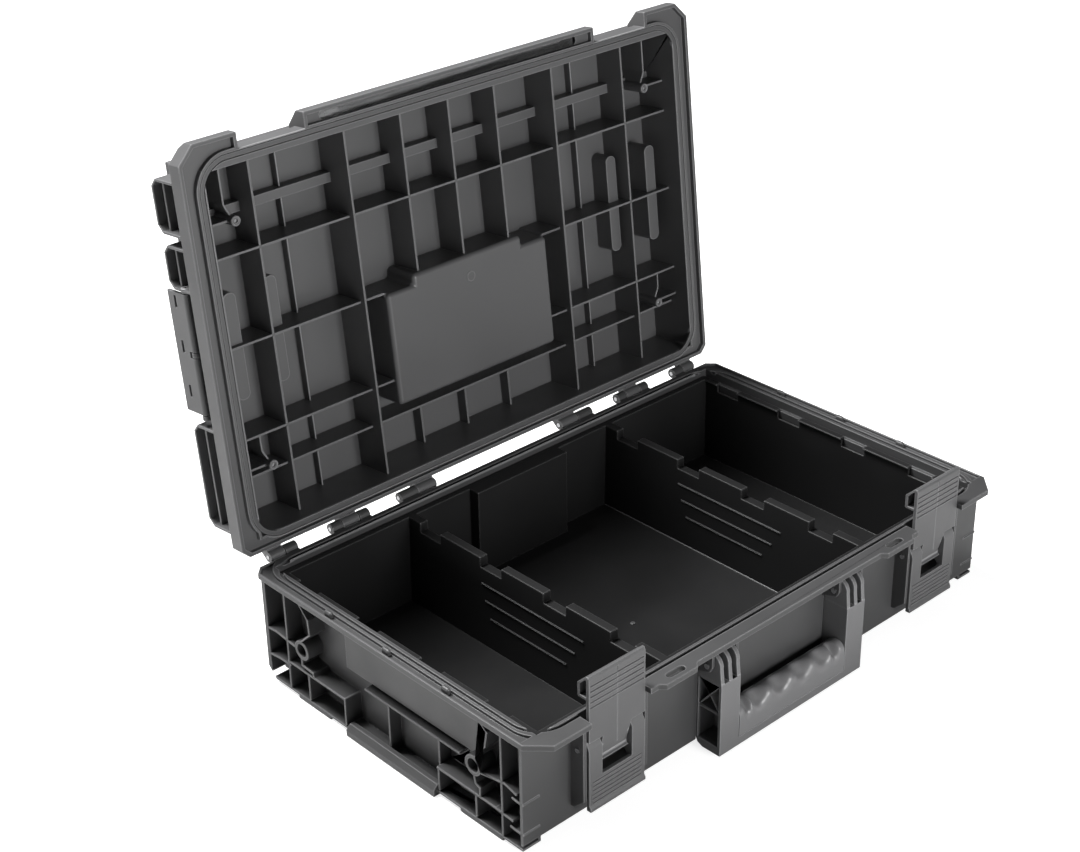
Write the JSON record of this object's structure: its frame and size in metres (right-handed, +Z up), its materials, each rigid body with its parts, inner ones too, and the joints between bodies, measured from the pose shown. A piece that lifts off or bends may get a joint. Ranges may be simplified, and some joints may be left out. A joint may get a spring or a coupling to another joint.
{
  "type": "hard tool case",
  "caption": "Hard plastic tool case with a hinged ribbed lid, draw latches, folding front handle, stacking side clips and a lift-out organizer insert with compartments",
  "frame": {"origin": "centre of the width, on the plane that the case stands on; the depth origin lies between the front wall and the hinge", "axes": "+X to the right along the width, -Y to the front with latches and handle, +Y to the hinge, +Z up"},
  "size_m": [0.5886, 0.4656, 0.4817],
  "materials": {
    "shell_plastic": "moulded polypropylene, fine spark-eroded texture",
    "tray_plastic": "smoother moulded polypropylene insert",
    "latch_plastic": "glass-filled nylon, satin",
    "grip_rubber": "soft overmoulded grip",
    "seal_rubber": "foam rubber cord seal",
    "pin_steel": "plain drawn steel wire"
  },
  "bodies": {
    "case_base": {"base_shell": "shell_plastic", "organizer_tray": "tray_plastic", "hinge_pins_right": "pin_steel", "hinge_pins_left": "pin_steel", "latch_base_pin_right": "pin_steel", "latch_base_pin_left": "pin_steel", "handle_pin_right": "pin_steel", "handle_pin_left": "pin_steel"},
    "lid": {"lid_shell": "shell_plastic", "lid_gasket": "seal_rubber", "side_clip_pin_right": "pin_steel", "side_clip_pin_left": "pin_steel"},
    "handle": {"handle_frame": "latch_plastic", "handle_grip": "grip_rubber"},
    "lever_right": {"latch_lever_right": "latch_plastic", "latch_link_pin_right": "pin_steel"},
    "hook_right": {"latch_hook_right": "latch_plastic"},
    "clip_right": {"side_clip_right": "latch_plastic"},
    "lever_left": {"latch_lever_left": "latch_plastic", "latch_link_pin_left": "pin_steel"},
    "hook_left": {"latch_hook_left": "latch_plastic"},
    "clip_left": {"side_clip_left": "latch_plastic"}
  },
  "joints": [
    {"name": "lid_hinge", "type": "hinge", "parent": "case_base", "child": "lid", "pos_m": [0, 0.1763, 0.10875], "axis": [1, 0, 0], "range_deg": [0, 96.1]},
    {"name": "handle_fold", "type": "hinge", "parent": "case_base", "child": "handle", "pos_m": [0, -0.1854, 0.09], "axis": [-1, 0, 0], "range_deg": [0, 90]},
    {"name": "lever_swing_right", "type": "hinge", "parent": "case_base", "child": "lever_right", "pos_m": [0.2023, -0.1806, 0.078], "axis": [-1, 0, 0], "range_deg": [0, 95]},
    {"name": "hook_tilt_right", "type": "hinge", "parent": "lever_right", "child": "hook_right", "pos_m": [0.2023, -0.1812, 0.062], "axis": [1, 0, 0], "range_deg": [0, 109.25]},
    {"name": "clip_swing_right", "type": "hinge", "parent": "lid", "child": "clip_right", "pos_m": [0.2906, 0.22418, 0.29658], "axis": [0, -0.1063, -0.9943], "range_deg": [0, 60]},
    {"name": "lever_swing_left", "type": "hinge", "parent": "case_base", "child": "lever_left", "pos_m": [-0.2023, -0.1806, 0.078], "axis": [-1, 0, 0], "range_deg": [0, 95]},
    {"name": "hook_tilt_left", "type": "hinge", "parent": "lever_left", "child": "hook_left", "pos_m": [-0.2023, -0.1812, 0.062], "axis": [1, 0, 0], "range_deg": [0, 109.25]},
    {"name": "clip_swing_left", "type": "hinge", "parent": "lid", "child": "clip_left", "pos_m": [-0.2906, 0.22418, 0.29658], "axis": [0, 0.1063, 0.9943], "range_deg": [0, 60]}
  ],
  "couplings": [
    {"joint": "hook_tilt_right", "follows": "lever_swing_right", "ratio": 1.15},
    {"joint": "hook_tilt_left", "follows": "lever_swing_left", "ratio": 1.15}
  ]
}
